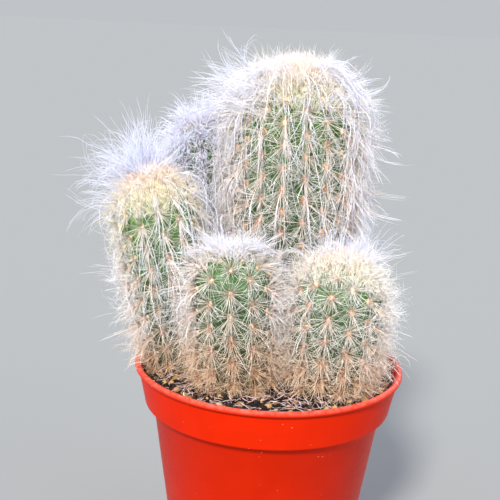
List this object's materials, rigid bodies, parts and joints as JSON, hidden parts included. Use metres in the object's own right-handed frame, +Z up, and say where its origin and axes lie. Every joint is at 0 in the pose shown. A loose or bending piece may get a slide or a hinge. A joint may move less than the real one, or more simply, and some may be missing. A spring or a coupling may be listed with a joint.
{
  "type": "potted peruvian old man cactus",
  "caption": "Clump of woolly ribbed columnar cacti with white hair and fine spines, planted in gritty soil in a round tapered plastic nursery pot.",
  "frame": {"origin": "centre of the pot's underside", "axes": "+Z up, -Y the front of the clump, +X to the viewer's right"},
  "size_m": [0.1297, 0.1126, 0.2223],
  "materials": {
    "pot_plastic": "injection-moulded polypropylene, orange-red, soft gloss with fine scratches",
    "potting_mix": "dark crumbly peat and bark, matt",
    "green_skin": "waxy green cactus skin, dull",
    "white_wool": "fine silky white hair",
    "spine_straw": "translucent cream to straw spines",
    "areole_felt": "tan felt of the areoles",
    "grit": "yellow-brown grit, matt"
  },
  "bodies": {
    "root": {"pot": "pot_plastic", "soil": "potting_mix", "stem_tall": "green_skin", "stem_left": "green_skin", "stem_back": "green_skin", "stem_front": "green_skin", "stem_right": "green_skin", "wool_tall": "white_wool", "wool_left": "white_wool", "wool_back": "white_wool", "wool_front": "white_wool", "wool_right": "white_wool"}
  },
  "joints": []
}
